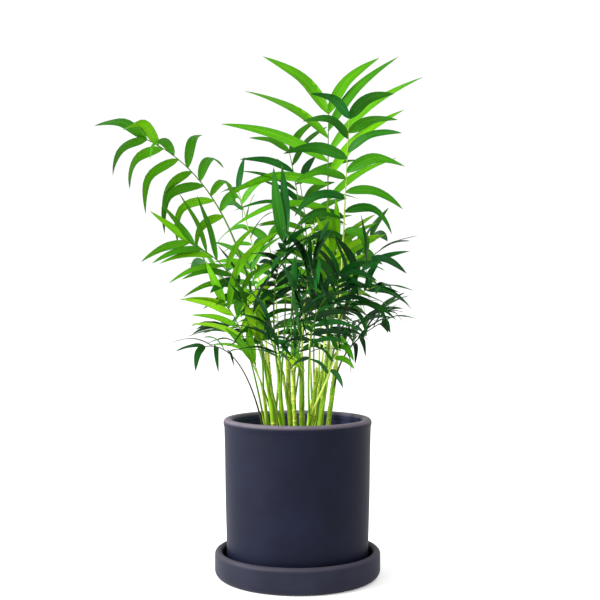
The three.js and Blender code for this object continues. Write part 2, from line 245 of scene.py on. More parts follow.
# %% Finishes
class Finish:
    """A material with one Principled shader, whose fixed numbers are given by socket name."""

    def __init__(self, name, **fixed):
        self.material = bpy.data.materials.new(name)
        self.material.use_nodes = True
        self.tree = self.material.node_tree
        self.shader = self.tree.nodes["Principled BSDF"]
        for socket, value in fixed.items():
            self.shader.inputs[socket.replace("_", " ")].default_value = value

    def node(self, kind, settings=None, sockets=None, out=0):
        """A node with its settings, then its sockets' values or links; gives one output."""
        made = self.tree.nodes.new("ShaderNode" + kind)
        for key, value in (settings or {}).items():
            setattr(made, key, value)
        for key, value in (sockets or {}).items():
            if isinstance(value, Wire):
                self.tree.links.new(value.socket, made.inputs[key])
            else:
                made.inputs[key].default_value = value
        return Wire(self, made.outputs[out])

    def place(self):
        """Where a point is on the object, in metres."""
        return self.node("TexCoord", out=3)

    def split(self, where):
        """The three numbers of a vector."""
        parts = self.node("SeparateXYZ", sockets={0: where}).socket.node
        return [Wire(self, socket) for socket in parts.outputs]

    def along(self, uv_map):
        """One of the piece's own maps as a vector, and its two numbers."""
        where = self.node("UVMap", {"uv_map": uv_map})
        return (where, *self.split(where)[:2])

    def noise(self, scale, detail=2.0, where=None):
        """A soft noise from 0 to 1, by default on the place in metres."""
        return self.node("TexNoise", sockets={"Vector": where or self.place(), "Scale": scale,
                                              "Detail": detail})

    def blend(self, share, a, b):
        """Colour a where share is 0 and colour b where it is 1."""
        return self.node("Mix", {"data_type": "RGBA"}, {0: share, 6: a, 7: b}, out=2)

    def stretched(self, where, factors):
        """A place times a factor on each axis, so that a noise on it runs in streaks."""
        return self.node("VectorMath", {"operation": "MULTIPLY"}, {0: where, 1: factors})

    def wear(self, colour=None, roughness=None, relief=None, depth=0.0002, strength=1.0):
        """Links what varies over the surface, and gives the material."""
        links = {"Base Color": colour, "Roughness": roughness}
        if relief:
            links["Normal"] = self.node("Bump", sockets={
                "Height": relief, "Distance": depth, "Strength": strength})
        for socket, wire in links.items():
            if wire:
                self.tree.links.new(wire.socket, self.shader.inputs[socket])
        return self.material


# %% [markdown]
# A colour is easiest to choose as it looks on a screen, in steps from 0 to 255. A shader wants
# the light that it stands for, so each is carried over by the screen's own curve.


# %% Colours
def colour(red, green, blue):
    """A screen colour of 0 to 255 as the light it stands for."""
    level = np.array([red, green, blue]) / 255
    light = np.where(level <= 0.04045, level / 12.92, ((level + 0.055) / 1.055) ** 2.4)
    return (*light.tolist(), 1.0)


def tinted(tone, factors, plus=0.0):
    """A colour's red, green and blue times factors, plus a little, at most 1."""
    return (*np.minimum(np.array(tone[:3]) * factors + plus, 1).tolist(), 1.0)


# %% [markdown]
# ## The pot and its saucer
# Both are cast in clay and are round, so each is one outline carried round the upright axis.
# The outline of the pot has a rolled lip, a fine step a few millimetres below it, a wall that
# leans out a little and a rounded foot. The inside goes down to a flat floor under the soil.

# %% Sizes of the pot and the saucer
GAP = 0.3
SAUCER = {"radius": 78, "height": 25, "wall": 7.5, "floor": 7, "edge": 7, "corner": 2}
POT = {"rim": 70, "base": 66.25, "height": 141, "wall": 8.5, "floor": 10, "lip": 3.5, "edge": 2}
POT_BASE = SAUCER["floor"] + GAP
POT_RIM = POT_BASE + POT["height"]
SOIL_TOP = POT_RIM - 26
STEP = {"below": 6.5, "softness": 0.5, "depth": 0.6, "fades": (60, 120)}


def bend(radius, height, size, start, stop, steps=9):
    """A round corner: radius + size cos, height + size sin, from one angle to another."""
    angle = np.radians(np.linspace(start, stop, steps))
    return np.stack([radius + size * np.cos(angle), height + size * np.sin(angle)], -1)


def straight(start, stop, steps):
    """Points at even steps from start to stop, both ends left out."""
    return mix(np.array(start, float), np.array(stop, float),
               np.linspace(0, 1, steps + 2)[1:-1, None])


def wall_radius(height):
    """The outer wall leans evenly from the pot's base radius to its rim radius."""
    return mix(POT["base"], POT["rim"], (height - POT_BASE) / POT["height"])


print("the pot stands at", POT_BASE, "mm and its rim is at", POT_RIM, "mm")


# %% Outlines of the pot and the saucer
def pot_outline():
    """Foot, leaning wall less its step, rolled lip, inner wall and floor in one line."""
    lip, edge, wall, floor = POT["lip"], POT["edge"], POT["wall"], POT_BASE + POT["floor"]
    top = POT_RIM - lip
    foot = bend(POT["base"] - edge, POT_BASE + edge, edge, -90, 0)
    brim = np.concatenate([bend(POT["rim"] - lip, top, lip, 0, 90),
                           bend(POT["rim"] - wall + lip, top, lip, 90, 180)])
    outer = straight(foot[-1], brim[0], 60)
    below, softness, (low, high) = STEP["below"], STEP["softness"], STEP["fades"]
    step = smooth_step(POT_RIM - outer[:, 1], below - softness, below + softness)
    fade = smooth_step(outer[:, 1], POT_BASE + low, POT_BASE + high)
    outer[:, 0] = wall_radius(outer[:, 1]) - STEP["depth"] * step * fade
    corner = (wall_radius(floor) - wall, floor)
    return np.concatenate([straight((0, POT_BASE), foot[0], 3), foot, outer, brim,
                           straight(brim[-1], corner, 20), [corner],
                           straight(corner, (0, floor), 3)])


def saucer_outline():
    """Underside, round edge, upright wall with a round lip, and flat inside in one line."""
    radius, height, wall, floor, edge, corner = SAUCER.values()
    lip, inner = wall / 2, radius - wall
    return np.concatenate([
        straight((0, 0), (radius - edge, 0), 4), bend(radius - edge, edge, edge, -90, 0),
        straight((radius, edge), (radius, height - lip), 6),
        bend(radius - lip, height - lip, lip, 0, 180, 17),
        straight((inner, height - lip), (inner, floor + corner), 5),
        bend(inner - corner, floor + corner, corner, 0, -90, 5),
        straight((inner - corner, floor), (0, floor), 8)])


def turned(outline, around=160):
    """Carries (radius, height) round the axis, as radius cos, radius sin and height."""
    angle = np.linspace(0, 2 * np.pi, around, endpoint=False)
    radius, height = outline[:, :1], outline[:, 1:]
    return np.stack([radius * np.cos(angle), radius * np.sin(angle),
                     np.broadcast_to(height, (len(outline), around))], -1)


print("pot outline:", len(pot_outline()), "points; saucer:", len(saucer_outline()), "points")

# %% [markdown]
# The clay has a matt dark slate-blue coat. Up close such a coat is never one colour: it clouds
# softly, carries fine specks, and is thinner and greyer where it runs over an edge. So the
# finish has a wide soft noise, a fine one for the specks, and a paler band on the lip: partly
# that thinner coat, partly a painted highlight. The inner wall is painted paler and bluer as
# painted light, and the step gets a thin dark line of painted shade. Both are masks made from
# where a point lies on the pot: how far from the axis, and how high.

# %% Matt ceramic
# the lip pales, by a thinner coat and a painted highlight, between these depths below its top, in mm;
# the inside's painted light comes in between these squares of the radius, in m2, and between these
# heights, in m
LIP_BAND, PAINTED_LIGHT_SQUARE, PAINTED_LIGHT_HEIGHT = (4.2, 0.4), (0.0042, 0.0038), (0.09, 0.11)


def ceramic(name, body, lip, lip_height, inside_painted_light=None):
    """Clouds between two tones, painted light inside, a thin painted shade line in the step, the lip's
    paler band (partly a thinner coat, partly a painted highlight), and specks.
    """
    finish = Finish(name, Specular_IOR_Level=0.07)
    x, y, height = finish.split(finish.place())
    clouds, grain = finish.noise(26, 3.0), finish.noise(1500, 2.0)
    # the paler lip band: partly a thinner coat over the edge, partly a painted highlight
    thin = height.step(*((lip_height - v) * MM for v in LIP_BAND))
    thin = thin * (0.45 + 0.4 * finish.noise(60))
    specks = finish.noise(2600, 1.0).step(0.66, 0.74) * 0.3
    skin = finish.blend(clouds.step(0.3, 0.7), tinted(body, 0.72), body)
    if inside_painted_light:
        # painted light: the inner wall is painted paler and bluer, as if lit
        painted_light_mask = (x * x + y * y).step(*PAINTED_LIGHT_SQUARE) * height.step(*PAINTED_LIGHT_HEIGHT)
        # painted shade: a thin dark line is painted in the step below the lip
        crease = (POT_RIM - STEP["below"] - STEP["depth"]) * MM
        line = height.step(crease - MM, crease) * height.step(crease + MM, crease)
        skin = finish.blend(painted_light_mask * 0.8, skin, inside_painted_light)
        skin = finish.blend(line * 0.6, skin, colour(8, 9, 18))
    skin = finish.blend(thin, skin, lip)
    skin = finish.blend(specks, skin, colour(60, 62, 76))
    return finish.wear(skin, 0.46 + 0.12 * clouds, grain + 0.4 * clouds, 0.00012, 0.35)


# the pot's inside colour is painted light; its pale lip colour is partly a painted highlight
pot_coat = ceramic("pot_coat", colour(15, 18, 34), colour(116, 108, 118), POT_RIM,
                   inside_painted_light=colour(50, 55, 80))
saucer_coat = ceramic("saucer_coat", colour(31, 32, 45), colour(64, 61, 70), SAUCER["height"])

for name, outline, coat in (("pot", pot_outline(), pot_coat),
                            ("saucer", saucer_outline(), saucer_coat)):
    rings = turned(outline)
    length = np.concatenate([[0], np.cumsum(np.linalg.norm(np.diff(outline, axis=0), axis=1))])
    laid = ring_map(*rings.shape[:2], heights=length / length[-1])
    made = tube(rings, OFBake=inset(laid)).become(name + "_clay", [name], name, [coat])
    print(made.name, len(made.data.polygons), "faces")

# %% [markdown]
# ## The soil
# Potting mix is peat with bark and a few white grains. From above it shows between the canes, so
# it gets a bumpy surface, a rounded fall to the wall of the pot, and loose crumbs on top. The
# bumps are sums of waves in many directions, which is a cheap noise for a whole array at once.

# %% The bed of soil
draw = np.random.default_rng(11)
SOIL_EDGE = POT["wall"] + 2 * GAP
SOIL_BOTTOM = POT_BASE + POT["floor"] + GAP
# the bed lies a little below its level and falls at the wall, and reaches 0.5 mm nearer to the
# wall than its solid; its foot is drawn in as the pot is, and its shoulder is 12 mm down
SOIL_DIP, SOIL_FALL, SOIL_REACH = 0.6, 3.0, 0.5
SOIL_FOOT, SOIL_SHOULDER = 1 - 4 / 60, 12


def bumps(x, y, count=36, longest=34.0, shortest=2.6, height=1.5):
    """The sum of waves whose height shrinks with their length, in seeded directions."""
    rng = np.random.default_rng(5)
    length = np.geomspace(longest, shortest, count)
    angle, phase = rng.uniform(0, 2 * np.pi, (2, count))
    wave = 2 * np.pi * (x[..., None] * np.cos(angle) + y[..., None] * np.sin(angle)) / length
    return height * np.sum(np.sin(wave + phase) * (length / longest) ** 0.8, -1) / count ** 0.5


def soil_surface(x, y):
    """The level bed with its bumps, falling a little where it meets the wall."""
    radius = np.hypot(x, y) / (wall_radius(SOIL_TOP) - SOIL_EDGE)
    return SOIL_TOP - SOIL_DIP + bumps(x, y) - SOIL_FALL * smooth_step(radius, 0.9, 1.0)


def soil_rings(around=120, rings=44):
    """Two rings up the wall, then rings on the surface, of radius outer (1 - t)^0.8."""
    outer = wall_radius(SOIL_TOP) - SOIL_EDGE + SOIL_REACH
    radius = outer * (1 - np.linspace(0, 0.985, rings)) ** 0.8
    angle = np.linspace(0, 2 * np.pi, around, endpoint=False)
    x, y = radius[:, None] * np.cos(angle), radius[:, None] * np.sin(angle)
    top = np.stack([x, y, soil_surface(x, y)], -1)
    low = np.array([SOIL_FOOT, 1])[:, None, None] * top[:1]
    low[..., 2] = np.array([SOIL_BOTTOM, SOIL_TOP - SOIL_SHOULDER])[:, None]
    return np.concatenate([low, top])


def potting_mix(name, dark, pale):
    """Lumps and grains set the tone between dark and pale, and raise the surface."""
    finish = Finish(name, Specular_IOR_Level=0.15, Roughness=0.95)
    lumps, grains = finish.noise(420, 4.0), finish.noise(1800, 2.0)
    tone = finish.blend((0.7 * lumps + 0.3 * grains).step(0.36, 0.66), dark, pale)
    return finish.wear(tone, relief=lumps + 0.5 * grains, depth=0.0008, strength=0.8)


peat = potting_mix("peat", colour(26, 18, 12), colour(74, 52, 36))
bark = potting_mix("bark_chips", colour(58, 34, 20), colour(118, 76, 46))
grit = potting_mix("white_grit", colour(176, 170, 158), colour(222, 218, 208))
bed = tube(soil_rings()).become("soil_bed", ["soil"], "soil", [peat])
print(bed.name, len(bed.data.polygons), "faces")

# %% [markdown]
# The crumbs are one small lump of twenty faces, copied as an array: each copy is scaled, turned
# and dented by its own seeded numbers, and laid on the surface at its own height.

# %% Loose crumbs
CRUMBS, BARK_SIZE = 620, 1.7
GOLDEN = (1 + 5 ** 0.5) / 2
LUMP = unit(np.array([(-1, GOLDEN, 0), (1, GOLDEN, 0), (-1, -GOLDEN, 0), (1, -GOLDEN, 0),
                      (0, -1, GOLDEN), (0, 1, GOLDEN), (0, -1, -GOLDEN), (0, 1, -GOLDEN),
                      (GOLDEN, 0, -1), (GOLDEN, 0, 1), (-GOLDEN, 0, -1), (-GOLDEN, 0, 1)]))
LUMP_FACES = np.array([(0, 11, 5), (0, 5, 1), (0, 1, 7), (0, 7, 10), (0, 10, 11), (1, 5, 9),
                       (5, 11, 4), (11, 10, 2), (10, 7, 6), (7, 1, 8), (3, 9, 4), (3, 4, 2),
                       (3, 2, 6), (3, 6, 8), (3, 8, 9), (4, 9, 5), (2, 4, 11), (6, 2, 10),
                       (8, 6, 7), (9, 8, 1)])


def crumbs(count):
    """Each lump's points times its size and dents, turned about the upright, at its place."""
    far = (wall_radius(SOIL_TOP) - SOIL_EDGE - 2.5) * draw.uniform(0, 1, count) ** 0.5
    bearing = draw.uniform(0, 2 * np.pi, count)
    x, y = far * np.cos(bearing), far * np.sin(bearing)
    kind = draw.choice([0, 0, 0, 1, 1, 2], count)
    size = draw.uniform(0.5, 1.5, (count, 3)) * np.array([[1.0, 1.0, 0.7]])
    size *= np.where(kind == 1, BARK_SIZE, 1.0)[:, None]
    dents = draw.uniform(0.72, 1.2, (count, 12, 1))
    turn = draw.uniform(0, 2 * np.pi, (count, 1))
    points = LUMP[None] * dents * size[:, None]
    points = spun(points, np.array([0.0, 0.0, 1.0]), np.broadcast_to(turn, (count, 12)))
    points = spun(points, np.array([1.0, 0.0, 0.0]), 0.4 * np.broadcast_to(turn, (count, 12)))
    return points + np.stack([x, y, soil_surface(x, y) + 0.25 * size[:, 2]], -1)[:, None], kind


points, kind = crumbs(CRUMBS)
faces = (LUMP_FACES[None] + 12 * np.arange(CRUMBS)[:, None, None]).reshape(-1, 3)
loose = Skin().add(points, faces, np.repeat(kind, len(LUMP_FACES))).become(
    "soil_crumbs", ["soil"], "soil", [peat, bark, grit], sharp=35)
print(loose.name, CRUMBS, "crumbs")

# %% [markdown]
# ## The canes
# Each seedling has a slim green cane. A leaf that has fallen leaves a ring, so the cane is a
# tube whose radius swells softly at each ring and is nipped just above it, with a slimmer waist
# between the rings. The map called Rings counts the rings along the cane, so the finish can draw
# each scar exactly where the shape has it. The top closes round the next leaf in a blunt point.

# %% Where the canes stand
CANES = {
    "A": [(-26, -9), (-31, -13, 168), 2.6], "B": [(-21, 4), (-29, 3, 210), 3.3],
    "C": [(-12, -15), (-18, -20, 196), 2.7], "D": [(-6, 9), (-10, 13, 206), 2.9],
    "E": [(4, -5), (4, -7, 204), 3.3], "F": [(12, 13), (18, 19, 190), 2.7],
    "G": [(19, -8), (29, -11, 218), 3.3], "H": [(27, 8), (36, 11, 196), 2.9],
    "I": [(-2, 30), (-5, 38, 190), 2.7], "J": [(15, 31), (22, 41, 184), 2.7],
    "K": [(-19, 25), (-28, 34, 182), 2.7], "L": [(8, -27), (12, -35, 164), 2.5],
}
CANE_TAPER, CANE_WAIST, CANE_LOBE = 0.8, 0.8, 0.03
CANE_RINGS, CANE_AROUND = 150, 20
CANE_SUNK, CANE_POINT = 3.5, 9.0
RING_SPACE, RING_SWELL = (8.5, 15.0), 0.4
NIP = {"depth": 0.1, "above": 1.4, "reach": 0.6}


def cane_at(row, height):
    """Middle and radius of a cane at a height: even lean, even taper from foot to tip."""
    foot, tip, radius = row
    share = (np.asarray(height, float) - SOIL_TOP) / (tip[2] - SOIL_TOP)
    middle = np.stack([mix(foot[0], tip[0], share), mix(foot[1], tip[1], share),
                       np.asarray(height, float)], -1)
    return middle, radius * mix(1, CANE_TAPER, np.clip(share, 0, 1))


print(len(CANES), "canes, the tallest to", max(tip[2] for _, tip, _ in CANES.values()), "mm")


# %% The skin of a cane
def ring_marks(seed, tip):
    """Heights of the rings from the soil to past the tip, each a strayed space above the last."""
    marks = [SOIL_TOP + 2.0 + 3 * abs(float(stray(seed)))]
    while marks[-1] < tip + 20:
        marks.append(marks[-1] + mix(*RING_SPACE, 0.5 + 0.5 * float(stray(seed + len(marks)))))
    return np.array(marks)


def ring_swell(off):
    """At a distance off a ring: swell exp(-off^2), less a nip of the same form just above."""
    nip = ((off - NIP["above"]) / NIP["reach"]) ** 2
    return RING_SWELL * np.exp(-off ** 2) - NIP["depth"] * np.exp(-nip)


def cane_skin(letter, row):
    """(r waist + the rings' swell) sqrt(1 - c^2), with c going from 0 to 1 at the tip."""
    seed, tip = ord(letter), row[1][2]
    height = np.linspace(SOIL_TOP - CANE_SUNK, tip + CANE_POINT * 0.6, CANE_RINGS)
    middle, radius = cane_at(row, height)
    marks = ring_marks(seed, tip)
    phase = np.interp(height, marks, np.arange(len(marks)), left=-0.3)
    off = height - marks[np.abs(height[:, None] - marks).argmin(1)]
    close = np.clip((height - (tip - CANE_POINT * 0.4)) / CANE_POINT, 0, 1)
    radius = radius * CANE_WAIST + ring_swell(off) * (1 - close)
    radius = radius * np.sqrt(np.clip(1 - close ** 2, 0.0004, 1))
    angle = np.linspace(0, 2 * np.pi, CANE_AROUND, endpoint=False)
    lobed = radius[:, None] * (1 + CANE_LOBE * np.cos(2 * angle + seed))
    points = middle[:, None] + np.stack([lobed * np.cos(angle), lobed * np.sin(angle),
                                         np.zeros_like(lobed)], -1)
    return tube(points, OFBake=inset(ring_map(CANE_RINGS, CANE_AROUND)),
                Rings=ring_map(CANE_RINGS, CANE_AROUND, heights=phase))


# %% [markdown]
# A cane is yellow-green with darker streaks along it. Just above a ring it is paler, the scar
# itself is a thin brown line, and the foot is dry and brown where it comes out of the soil.


# %% The finish of a cane
def cane_finish():
    """Green streaks, a pale bloom above each ring, the scars, and a dry foot."""
    finish = Finish("cane_skin", Specular_IOR_Level=0.2)
    where, _, phase = finish.along("Rings")
    height = finish.split(finish.place())[2]
    streak = finish.noise(1.0, 3.0, finish.stretched(where, (26.0, 1.1, 1.0)))
    after = phase.fraction()
    scar = after.least(1 - after).step(0.06, 0.015) * (0.25 + 0.6 * finish.noise(500))
    bloom = after.step(0.02, 0.08) * after.step(0.3, 0.1)
    skin = finish.blend(streak.step(0.34, 0.68), colour(58, 106, 4), colour(200, 218, 64))
    skin = finish.blend(bloom * 0.4, skin, colour(200, 208, 84))
    skin = finish.blend(scar, skin, colour(96, 92, 26))
    skin = finish.blend(height.step(0.136, 0.118) * 0.7, skin, colour(120, 104, 52))
    return finish.wear(skin, 0.4 + 0.2 * streak, streak - scar, 0.00025, 0.5)


cane_green = cane_finish()
for letter, row in CANES.items():
    made = cane_skin(letter, row).become("cane_" + letter + "_skin", ["cane_" + letter],
                                         "cane", [cane_green])
print("each cane has", len(made.data.polygons), "faces")

# %% [markdown]
# ## The fronds
# A frond is a leaf stalk that goes on as a rib, with leaflets down both sides. Each row says
# which cane it leaves and how far up, the middle and the tip of its rib, the bare share of the
# rib, its pairs of leaflets, a leaflet's length and width, and in degrees how far leaflets
# spread, droop and lift, and by how much one side spreads more and the other less. Then come
# where the blade faces (round from +X, and up) and its tone.

# %% The rows of the fronds
Frond = namedtuple("Frond", "cane up middle tip bare pairs leaflet lie face tone")
ROWS = [
    # the tall ones and the long arching one
    ("B", 0.97, (-70, -20, 339), (-137, -54, 404), 0.58, 7, (64, 10.5), (56, 128, 12, -6),
     (-85, -14), "fresh"),
    ("G", 0.97, (29, 26, 300), (31, 60, 449), 0.6, 5, (112, 11), (53, 26, 10, -20), (-100, 5), "fresh"),
    ("H", 0.96, (42, -6, 299), (48, -22, 430), 0.54, 7, (60, 10.5), (70, 62, 16, 0), (-95, 10), "mid"),
    ("D", 0.97, (8, 36, 279), (-9, 70, 412), 0.62, 5, (64, 7), (60, 30, 4, 0), (-100, 72), "mid"),
    ("I", 0.97, (9, 66, 290), (2, 94, 382), 0.62, 4, (52, 7.5), (62, 30, 4, 0), (-60, 70), "mid"),
    ("K", 0.97, (-37, 44, 270), (-61, 80, 372), 0.5, 6, (46, 7), (64, 45, 12, 0), (-150, 30), "mid"),
    # the left side
    ("B", 0.66, (-52, -30, 268), (-100, -46, 312), 0.56, 4, (56, 9), (48, 26, 6, 4), (-95, 20), "fresh"),
    ("A", 0.58, (-49, -29, 223), (-68, -40, 257), 0.6, 3, (52, 10), (50, 22, 6, 8), (-95, 10), "lime"),
    ("A", 0.08, (-52, -36, 199), (-84, -62, 218), 0.8, 3, (38, 5.5), (58, 70, 12, 0), (-90, 60), "dark"),
    ("A", 0.98, (-36, -34, 232), (-51, -64, 260), 0.5, 5, (44, 7.5), (56, 35, 10, 0), (-80, 30), "mid"),
    ("D", 0.78, (-32, 12, 242), (-48, 14, 300), 0.58, 4, (48, 8), (58, 35, 12, 0), (-110, 20), "fresh"),
    ("D", 0.58, (-30, -8, 239), (-55, -24, 278), 0.48, 4, (48, 8), (60, 40, 12, 0), (-60, 30), "mid"),
    # the middle, towards the front
    ("C", 0.97, (-21, -46, 262), (-10, -84, 308), 0.5, 6, (50, 7.5), (54, 40, 10, 0), (-60, 25), "dark"),
    ("C", 0.6, (-16, -46, 208), (-24, -84, 240), 0.5, 6, (42, 7), (56, 36, 14, 0), (-110, 30), "dark"),
    ("E", 0.97, (7, -42, 258), (17, -90, 296), 0.5, 6, (50, 7), (52, 40, 10, 0), (-120, 25), "dark"),
    ("E", 0.75, (-3, -48, 234), (-4, -100, 270), 0.46, 6, (45, 7), (56, 45, 14, 0), (-60, 30), "dark"),
    ("L", 0.7, (12, -68, 226), (25, -108, 262), 0.46, 5, (42, 7), (56, 45, 14, 0), (-70, 30), "dark"),
    # the right side
    ("F", 0.97, (25, 12, 262), (37, 0, 312), 0.6, 4, (58, 9.5), (36, 16, 4, 0), (-80, 5), "lime"),
    ("F", 0.42, (38, 20, 254), (60, 44, 303), 0.48, 5, (47, 8), (66, 35, 12, 0), (-30, 30), "mid"),
    ("G", 0.8, (51, -16, 271), (77, -34, 306), 0.45, 5, (54, 6.5), (46, 26, 8, 0), (-70, 50), "dark"),
    ("G", 0.62, (42, -36, 247), (73, -70, 272), 0.38, 6, (46, 6.5), (58, 50, 14, 0), (-30, 40), "dark"),
    ("G", 0.45, (30, -32, 232), (38, -54, 285), 0.5, 6, (46, 7), (60, 40, 14, 0), (-110, 15), "dark"),
    ("H", 0.72, (47, -18, 213), (78, -44, 240), 0.45, 6, (40, 5.5), (56, 55, 8, 0), (-60, 50), "dark"),
    ("L", 0.9, (29, -46, 195), (39, -66, 226), 0.5, 4, (32, 6), (60, 36, 10, 0), (-80, 50), "mid"),
    # the back
    ("K", 0.76, (-53, 78, 243), (-99, 116, 300), 0.45, 6, (50, 8.5), (66, 45, 20, 0), (60, 60), "mid"),
    ("K", 0.55, (-51, 42, 208), (-82, 84, 235), 0.45, 5, (42, 8), (66, 50, 12, 0), (120, 60), "dark"),
    ("K", 0.34, (-20, 66, 229), (-31, 112, 323), 0.52, 5, (50, 8.5), (66, 40, 20, 0), (100, 30), "mid"),
    ("I", 0.78, (-6, 80, 260), (2, 132, 326), 0.5, 5, (52, 8.5), (62, 40, 14, 0), (90, 55), "fresh"),
    ("I", 0.55, (4, 84, 210), (9, 138, 255), 0.45, 5, (44, 8), (68, 50, 20, 0), (90, 60), "dark"),
    ("J", 0.97, (39, 80, 260), (79, 120, 328), 0.45, 6, (50, 8.5), (66, 45, 20, 0), (60, 50), "mid"),
    ("J", 0.74, (47, 68, 219), (90, 100, 251), 0.46, 5, (43, 8), (64, 48, 12, 0), (60, 60), "dark"),
    ("J", 0.52, (17, 80, 229), (28, 122, 300), 0.5, 5, (48, 8.5), (66, 40, 20, 0), (90, 40), "mid"),
    ("F", 0.48, (12, 46, 260), (19, 88, 354), 0.55, 5, (54, 9), (66, 35, 12, 0), (90, 15), "fresh"),
    # the young leaves, which have only two leaflets
    ("C", 0.8, (-11, -38, 256), (-12, -46, 313), 0.95, 1, (98, 8.5), (6, 6, 12, 0), (-90, 0), "mid"),
    ("C", 0.36, (-27, -29, 192), (-34, -42, 224), 0.95, 1, (62, 10), (17, 10, 12, 0), (-90, 10), "lime"),
    ("A", 0.44, (-33, -29, 178), (-40, -38, 204), 0.95, 1, (54, 9), (19, 14, 12, 0), (-90, 20), "lime"),
    ("E", 0.4, (5, -22, 182), (1, -30, 200), 0.95, 1, (34, 7.5), (16, 10, 12, 0), (-90, 20), "lime"),
]
FRONDS = [Frond(*row) for row in ROWS]
print(len(FRONDS), "fronds,", 2 * sum(frond.pairs for frond in FRONDS), "leaflets in the solids")

# %% [markdown]
# ## The rib
# A rib is a curve through three places: beside its cane, its middle and its tip. To walk along
# it at an even pace, the curve is sampled finely and its length is added up. At each share of
# the length the frame says which way is along the rib, above the blade and across it. A longer
# rib carries more and is thicker at its foot.

# %% The curve of a rib
RIB_SEAT, RIB_FOOT, RIB_TIP = 1.2, 1.1, 0.45
RIB_LENGTHS, RIB_FACTORS = (120, 320), (0.9, 1.4)


class Rib:
    """(1 - t)^2 start + 2 t (1 - t) pull + t^2 tip, which passes the middle at t = 1/2."""

    def __init__(self, frond):
        self.cane = CANES[frond.cane]
        middle, tip = np.array(frond.middle, float), np.array(frond.tip, float)
        axis, radius = cane_at(self.cane, mix(SOIL_TOP, self.cane[1][2], frond.up))
        self.height = axis[2]
        self.heading = unit((middle - axis) * (1, 1, 0))
        self.beside = radius + GAP + RIB_SEAT
        start = axis + self.heading * self.beside
        pull = 2 * middle - (start + tip) / 2
        t = np.linspace(0, 1, 201)[:, None]
        self.line = (1 - t) ** 2 * start + 2 * t * (1 - t) * pull + t ** 2 * tip
        steps = np.linalg.norm(np.diff(self.line, axis=0), axis=1)
        self.walked = np.concatenate([[0], np.cumsum(steps)])
        self.length = self.walked[-1]
        self.foot = RIB_FOOT * mix(*RIB_FACTORS, smooth_step(self.length, *RIB_LENGTHS))
        turn, high = np.radians(frond.face)
        self.look = np.array([math.cos(high) * math.cos(turn),
                              math.cos(high) * math.sin(turn), math.sin(high)])

    def at(self, share):
        """The places at shares of the length."""
        where = np.asarray(share) * self.length
        return np.stack([np.interp(where, self.walked, self.line[:, k]) for k in range(3)], -1)

    def frame(self, share):
        """Along the rib, above the blade and across it, each square to the others."""
        share = np.asarray(share, float)
        along = unit(self.at(np.clip(share + 0.004, 0, 1)) - self.at(np.clip(share - 0.004, 0, 1)))
        above = unit(self.look - dot(along, self.look) * along)
        return along, above, np.cross(along, above)


ribs = [Rib(frond) for frond in FRONDS]
print("longest rib", round(max(rib.length for rib in ribs)), "mm")

# %% [markdown]
# ## The sheath and the stalk
# Where a stalk leaves its cane, its foot widens into a sheath that wraps the cane. So the tube
# of the stalk goes on downwards: there each ring is a crescent round the cane, wide at the
# bottom and narrowing to the round stalk at the top, and the two shapes are blended ring by
# ring. Ten points go round: seven on the outside of the crescent and three on its inside.

# %% The skin of a stalk and its sheath
OUTER, INNER = 7, 3
ROUND = np.radians([*np.linspace(-120, 120, OUTER), 156, 180, 204])
CRESCENT = np.array([*np.linspace(-1, 1, OUTER), 0.62, 0, -0.62])
SHEATH_ROWS, STALK_ROWS, STALK_START = 14, 34, 0.012
SHEATH = {"length": 36, "stray": 8, "clear": 6, "wide": 172.0, "narrow": 40.0,
          "thin": 0.08, "thick": 0.4, "sunk": 0.3}


def sheath_rings(rib, number):
    """Crescents at radius waist + thick outside and waist - sunk inside, then the stalk."""
    share = np.linspace(0, 1, SHEATH_ROWS)
    top = rib.height - 1.0
    reach = min(SHEATH["length"] + SHEATH["stray"] * float(stray(number + 0.5)),
                top - SOIL_TOP - SHEATH["clear"])
    middle, radius = cane_at(rib.cane, top - reach * (1 - share))
    angle = np.radians(mix(SHEATH["wide"], SHEATH["narrow"], share ** 0.9))[:, None] * CRESCENT
    thick = mix(SHEATH["thin"], SHEATH["thick"], smooth_step(share, 0, 0.5))[:, None]
    waist = radius[:, None] * CANE_WAIST
    far = np.concatenate([np.repeat(waist + thick, OUTER, 1),
                          np.repeat(waist - SHEATH["sunk"], INNER, 1)], 1)
    side = np.cross([0, 0, 1.0], rib.heading)
    crescent = middle[:, None] + far[..., None] * (np.cos(angle)[..., None] * rib.heading
                                                   + np.sin(angle)[..., None] * side)
    foot = (middle + rib.heading * rib.beside)[:, None] + rib.foot * (
        np.cos(ROUND)[:, None] * rib.heading + np.sin(ROUND)[:, None] * side)
    return mix(crescent, foot, smooth_step(share, 0.45, 1.0)[:, None, None])


def stalk_rings(rib):
    """rib + r (above cos + across sin), with r going from foot to tip in a soft S."""
    share = np.linspace(STALK_START, 1, STALK_ROWS)
    along, above, across = rib.frame(share)
    first = rib.heading - dot(along[0], rib.heading) * along[0]
    offset = math.atan2(float(first @ across[0]), float(first @ above[0]))
    angle = ROUND + offset
    radius = mix(rib.foot, RIB_TIP, smooth_step(share, 0, 1) ** 0.9)[:, None, None]
    ring = np.cos(angle)[:, None] * above[:, None] + np.sin(angle)[:, None] * across[:, None]
    return rib.at(share)[:, None] + radius * ring


# %% [markdown]
# One stalk in three is pale yellow-green, the others are green, and two thin ones are brown. All
# have streaks along them. The sheath is yellow-green with a dry edge at its foot.


